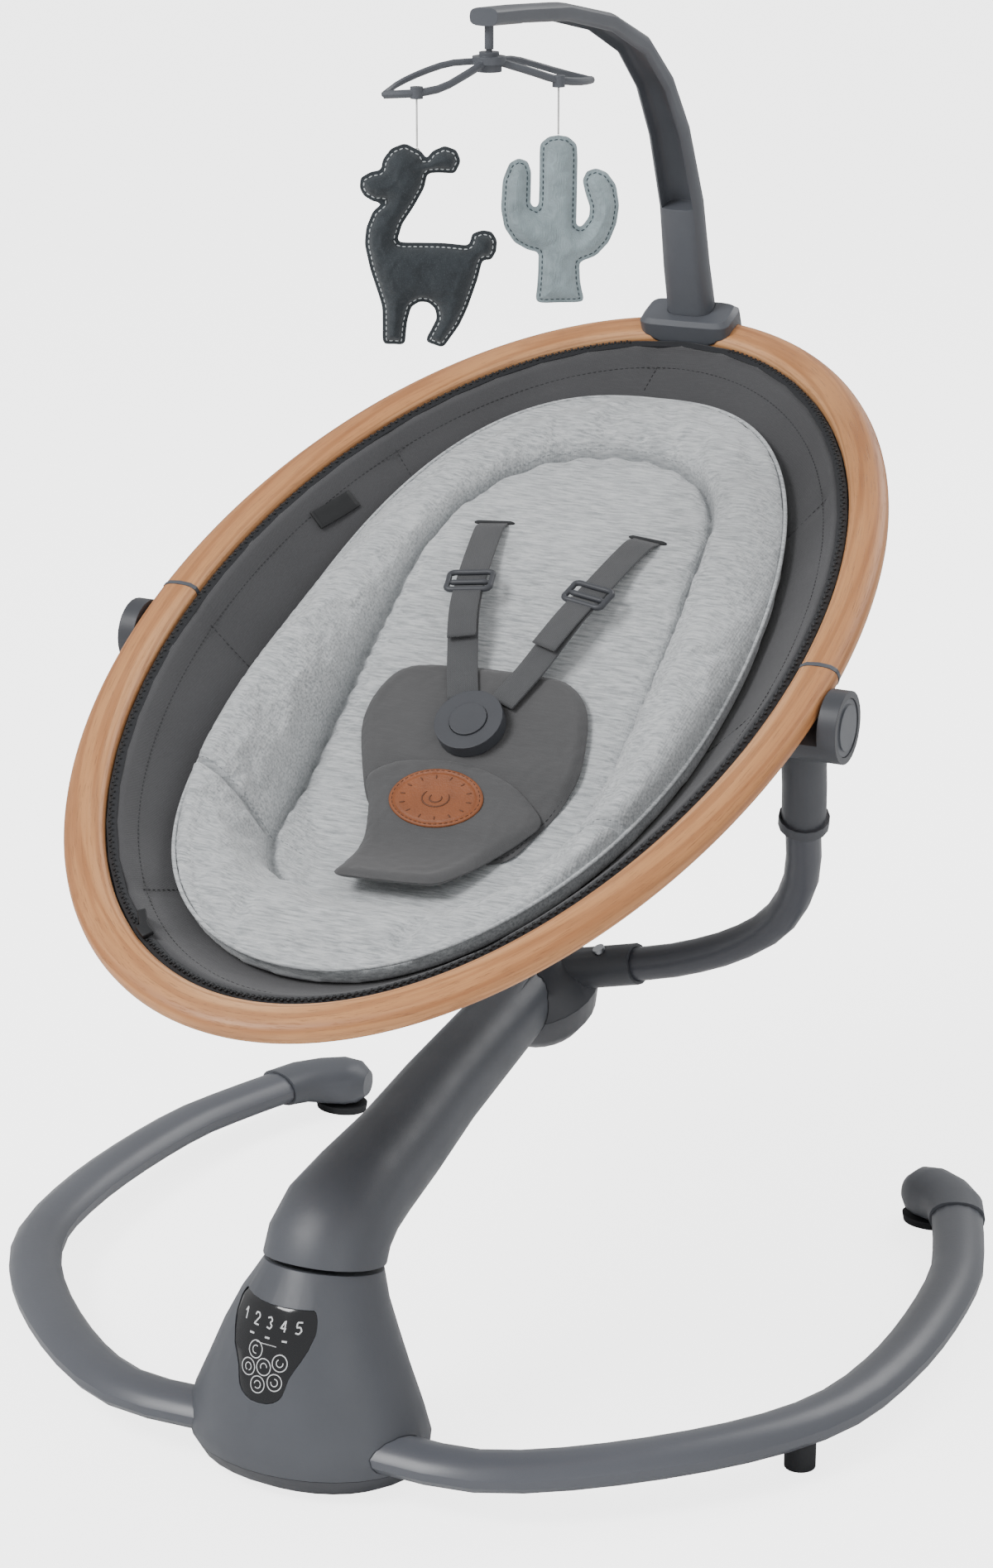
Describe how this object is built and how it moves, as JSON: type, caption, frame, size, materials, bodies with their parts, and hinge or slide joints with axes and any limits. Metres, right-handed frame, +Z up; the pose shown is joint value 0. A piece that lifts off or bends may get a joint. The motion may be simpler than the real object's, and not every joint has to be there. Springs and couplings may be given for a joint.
{
  "type": "baby swing",
  "caption": "Motor-driven baby swing: C-shaped floor base, pedestal, swing arm and yoke carrying a reclining oval fabric seat with a wooden rim and a toy bar with hanging toys.",
  "frame": {"origin": "middle of the pedestal's underside, on the floor", "axes": "+Z up, -Y towards the feet of the baby, +X to the baby's left"},
  "size_m": [0.618, 0.6737, 0.8266],
  "materials": {
    "shell_plastic": "satin moulded plastic",
    "dark_plastic": "satin moulded plastic",
    "black_plastic": "moulded plastic",
    "panel_gloss": "glossy touch surface",
    "tube_paint": "satin powder coat",
    "tube_paint_dark": "satin powder coat",
    "steel": "machined",
    "copper_winding": "enamelled winding",
    "board": "circuit board laminate",
    "wood": "clear satin lacquer, grain along the ring",
    "bowl_cloth": "woven charcoal cloth",
    "jersey": "melange jersey",
    "pad_cloth": "smooth grey cloth",
    "webbing": "woven webbing",
    "leather": "tan, slightly grained",
    "llama_cloth": "dark felt",
    "cactus_cloth": "pale padded cloth",
    "string": "thin twisted string",
    "rubber": "soft rubber"
  },
  "bodies": {
    "base": {"pedestal_housing": "shell_plastic", "pedestal_base_plate": "dark_plastic", "control_panel": "panel_gloss", "control_board": "board", "power_inlet": "black_plastic", "pedestal_frame": "dark_plastic", "shaft_bearing_upper": "steel", "shaft_bearing_lower": "steel", "drive_coil": "copper_winding", "base_tube_left": "tube_paint", "base_tube_right": "tube_paint", "tube_end_cap_left": "shell_plastic", "tube_end_cap_right": "shell_plastic", "end_cap_pad_left": "rubber", "end_cap_pad_right": "rubber", "round_foot_left": "rubber", "round_foot_right": "rubber"},
    "swing": {"swing_arm": "shell_plastic", "swing_shaft": "steel", "drive_lever": "shell_plastic", "drive_magnet": "steel", "hub_cup": "dark_plastic", "hub_cover": "dark_plastic", "yoke_tube_left": "tube_paint_dark", "yoke_tube_right": "tube_paint_dark", "recline_head_left": "dark_plastic", "recline_head_right": "dark_plastic", "pivot_pin_left": "steel", "pivot_pin_right": "steel"},
    "lock_pin_left": {"yoke_lock_pin_left": "steel"},
    "lock_pin_right": {"yoke_lock_pin_right": "steel"},
    "recline_push_left": {"recline_button_left": "shell_plastic"},
    "recline_push_right": {"recline_button_right": "shell_plastic"},
    "seat": {"ring_wood_head": "wood", "ring_wood_foot": "wood", "ring_spacer_left": "shell_plastic", "ring_spacer_right": "shell_plastic", "zip_trim_head": "black_plastic", "zip_trim_foot": "black_plastic", "seat_bowl": "bowl_cloth", "seat_insert": "jersey", "crotch_pad": "pad_cloth", "leather_patch": "leather", "buckle": "dark_plastic", "shoulder_strap_left": "webbing", "shoulder_strap_right": "webbing", "strap_adjuster_left": "dark_plastic", "strap_adjuster_right": "dark_plastic", "seat_bracket_left": "dark_plastic", "seat_bracket_right": "dark_plastic", "toy_bar_clip": "shell_plastic"},
    "buckle_push": {"buckle_button": "shell_plastic"},
    "toy_bar": {"toy_arm": "shell_plastic", "toy_post": "shell_plastic"},
    "mobile": {"mobile_bracket": "shell_plastic"},
    "llama": {"llama_toy": "llama_cloth", "llama_string": "string"},
    "cactus": {"cactus_toy": "cactus_cloth", "cactus_string": "string"}
  },
  "joints": [
    {"name": "swing_turn", "type": "hinge", "parent": "base", "child": "swing", "pos_m": [0, 0.01, 0.121], "axis": [0, 0.2588, 0.9659], "range_deg": [-15, 15]},
    {"name": "seat_recline", "type": "hinge", "parent": "swing", "child": "seat", "pos_m": [0, 0.216, 0.424], "axis": [1, 0, 0], "range_deg": [-12, 8]},
    {"name": "recline_press_left", "type": "slide", "parent": "swing", "child": "recline_push_left", "axis": [-1, 0, 0], "range_m": [0, 0.003], "stiffness_N_per_m": 400},
    {"name": "recline_press_right", "type": "slide", "parent": "swing", "child": "recline_push_right", "axis": [1, 0, 0], "range_m": [0, 0.003], "stiffness_N_per_m": 400},
    {"name": "lock_press_left", "type": "slide", "parent": "swing", "child": "lock_pin_left", "axis": [0.2906, 0.3708, -0.8821], "range_m": [0, 0.002], "stiffness_N_per_m": 400},
    {"name": "lock_press_right", "type": "slide", "parent": "swing", "child": "lock_pin_right", "axis": [-0.2906, 0.3708, -0.8821], "range_m": [0, 0.002], "stiffness_N_per_m": 400},
    {"name": "buckle_press", "type": "slide", "parent": "seat", "child": "buckle_push", "axis": [0, 0.6184, -0.7859], "range_m": [0, 0.002], "stiffness_N_per_m": 400},
    {"name": "toy_bar_pull", "type": "slide", "parent": "seat", "child": "toy_bar", "axis": [0, -0.3046, 0.9525], "range_m": [0, 0.02]},
    {"name": "mobile_turn", "type": "hinge", "parent": "toy_bar", "child": "mobile", "pos_m": [0, 0.236, 0.79], "axis": [0, 0, 1], "continuous": true},
    {"name": "llama_swing", "type": "hinge", "parent": "mobile", "child": "llama", "pos_m": [-0.02237, 0.18574, 0.7811], "axis": [0.5736, 0.8192, 0], "range_deg": [-12, 12]},
    {"name": "cactus_swing", "type": "hinge", "parent": "mobile", "child": "cactus", "pos_m": [0.03318, 0.2616, 0.7822], "axis": [0.5736, 0.8192, 0], "range_deg": [-12, 12]}
  ]
}
